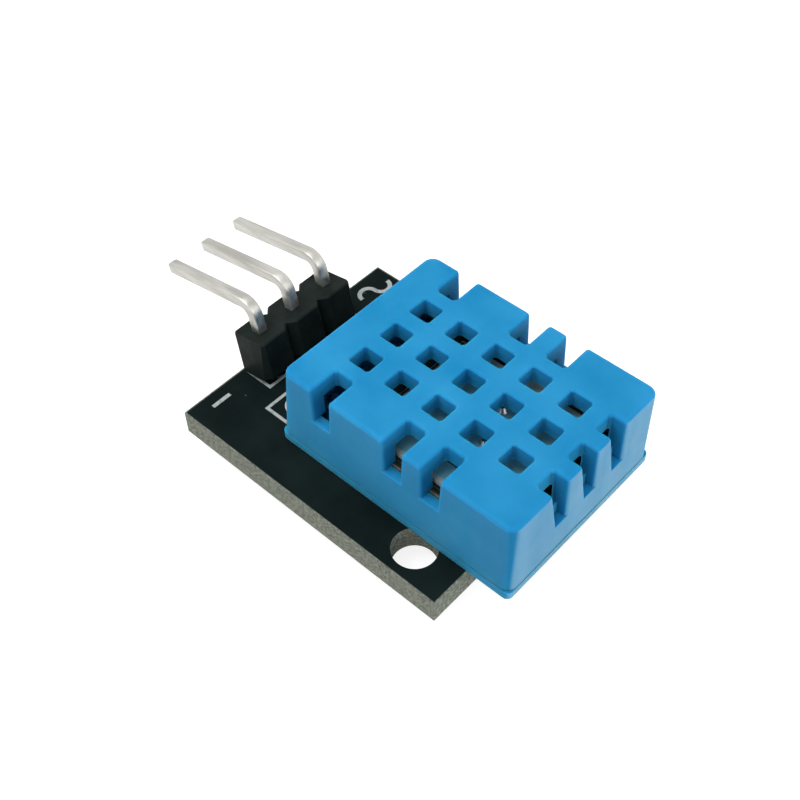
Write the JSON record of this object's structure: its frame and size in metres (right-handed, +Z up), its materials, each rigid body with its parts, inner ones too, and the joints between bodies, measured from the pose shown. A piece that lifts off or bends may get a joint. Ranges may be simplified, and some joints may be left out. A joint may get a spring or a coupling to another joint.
{
  "type": "temperature humidity sensor module",
  "caption": "Small circuit board with a grille-fronted blue temperature and humidity sensor lying on it and a leaning right-angle pin header at one end.",
  "frame": {"origin": "centre of the mounting hole on the board's underside", "axes": "+X along the board from the header end to the sensor's free end, +Y across the board away from the mounting hole, +Z up out of the board's component side"},
  "size_m": [0.028, 0.0159, 0.0082],
  "materials": {
    "board_laminate": "satin black solder mask over glass fibre laminate",
    "header_plastic": "matt black moulded",
    "pin_plating": "satin tin plating",
    "solder": "bright reflowed solder",
    "sensor_plastic": "blue moulded, softly glossy",
    "inner_laminate": "dark laminate",
    "element_substrate": "grey-green printed substrate",
    "bead_resin": "black resin",
    "chip_ceramic": "brown chip ceramic"
  },
  "bodies": {
    "root": {"circuit_board": "board_laminate", "header_housing": "header_plastic", "header_pin_1": "pin_plating", "header_pin_2": "pin_plating", "header_pin_3": "pin_plating", "header_solder_1": "solder", "header_solder_2": "solder", "header_solder_3": "solder", "sensor_back_plate": "sensor_plastic", "sensor_grille_shell": "sensor_plastic", "sensor_inner_board": "inner_laminate", "humidity_element": "element_substrate", "element_terminal_1": "solder", "element_terminal_2": "solder", "thermistor_bead": "bead_resin", "thermistor_wire_1": "pin_plating", "thermistor_wire_2": "pin_plating", "inner_capacitor": "chip_ceramic", "controller_dome": "bead_resin", "sensor_lead_1": "pin_plating", "sensor_lead_2": "pin_plating", "sensor_lead_3": "pin_plating", "sensor_lead_4": "pin_plating", "sensor_solder_1": "solder", "sensor_solder_2": "solder", "sensor_solder_3": "solder", "sensor_solder_4": "solder"}
  },
  "joints": []
}
